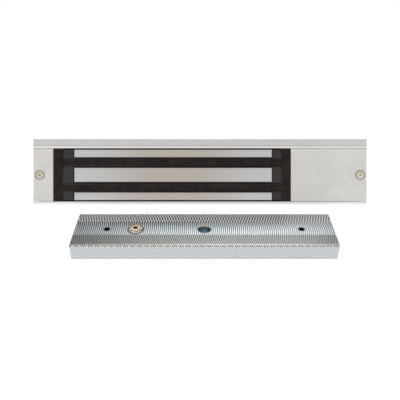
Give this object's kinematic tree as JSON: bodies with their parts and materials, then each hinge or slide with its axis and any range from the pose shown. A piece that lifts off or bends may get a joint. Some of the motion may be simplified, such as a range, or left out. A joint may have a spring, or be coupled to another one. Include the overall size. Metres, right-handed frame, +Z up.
{
  "type": "magnetic door lock",
  "caption": "Surface electromagnetic door lock: aluminium channel with a three-pole magnet and end covers, and a steel armature plate with a sprung plunger, hanging open below it.",
  "frame": {"origin": "middle of the mounting plate's upper face, which meets the door header", "axes": "+Z up, +X along the lock toward the connection cover, -Y toward the door leaf and its armature"},
  "size_m": [0.25, 0.0665, 0.086],
  "materials": {
    "anodised_aluminium": "fine sandblasted, clear anodised",
    "cover_aluminium": "fine sandblasted, clear anodised",
    "plain_aluminium": "turned",
    "screw_steel": "zinc plated, yellow passivated",
    "core_steel": "ground silicon steel",
    "grey_moulding": "glass-filled nylon",
    "enamelled_copper": "enamelled copper wire, wound",
    "potting_epoxy": "cast brown-black epoxy, glossy",
    "dam_board": "pressed board",
    "board_laminate": "solder-masked glass laminate",
    "standoff_brass": "turned",
    "terminal_plastic": "moulded polyamide",
    "terminal_steel": "zinc plated",
    "varistor_coating": "epoxy dipped",
    "header_plastic": "moulded, with gilt pins",
    "jumper_plastic": "moulded",
    "lead_red": "insulation",
    "lead_black": "insulation",
    "socket_screw_steel": "black oxide",
    "plug_plastic": "moulded",
    "grommet_rubber": "moulded",
    "plated_plate_steel": "face milled, zinc plated",
    "pin_steel": "hardened spring steel",
    "plunger_nickel": "nickel plated, turned",
    "spring_steel": "drawn wire"
  },
  "bodies": {
    "lock": {"mounting_plate": "anodised_aluminium", "housing": "anodised_aluminium", "left_cover": "cover_aluminium", "right_cover": "cover_aluminium", "cover_screws": "screw_steel", "cover_posts": "plain_aluminium", "core_laminations": "core_steel", "coil_bobbin": "grey_moulding", "coil_winding": "enamelled_copper", "pole_liner_upper": "grey_moulding", "pole_liner_lower": "grey_moulding", "potting_resin": "potting_epoxy", "potting_dams": "dam_board", "circuit_board": "board_laminate", "board_standoffs": "standoff_brass", "board_screws": "terminal_steel", "terminal_block": "terminal_plastic", "terminal_screws": "terminal_steel", "surge_varistor": "varistor_coating", "voltage_header": "header_plastic", "voltage_jumpers": "jumper_plastic", "coil_lead_red": "lead_red", "coil_lead_black": "lead_black", "body_screws": "socket_screw_steel", "access_plugs": "plug_plastic", "cable_grommet": "grommet_rubber"},
    "armature": {"armature_plate": "plated_plate_steel", "guide_pins": "pin_steel", "plunger_spring": "spring_steel"},
    "plunger": {"plunger_button": "plunger_nickel", "plunger_rivet": "plunger_nickel", "plunger_clip": "spring_steel"}
  },
  "joints": [
    {"name": "armature_swing", "type": "hinge", "parent": "lock", "child": "armature", "pos_m": [0, -0.01558, -0.05298], "axis": [1, 0, 0], "range_deg": [-123, 0]},
    {"name": "plunger_press", "type": "slide", "parent": "armature", "child": "plunger", "axis": [0, 0.5446, -0.8387], "range_m": [0, 0.0011], "stiffness_N_per_m": 1000, "springref_m": -0.0015, "deforming": ["plunger_spring"]}
  ]
}
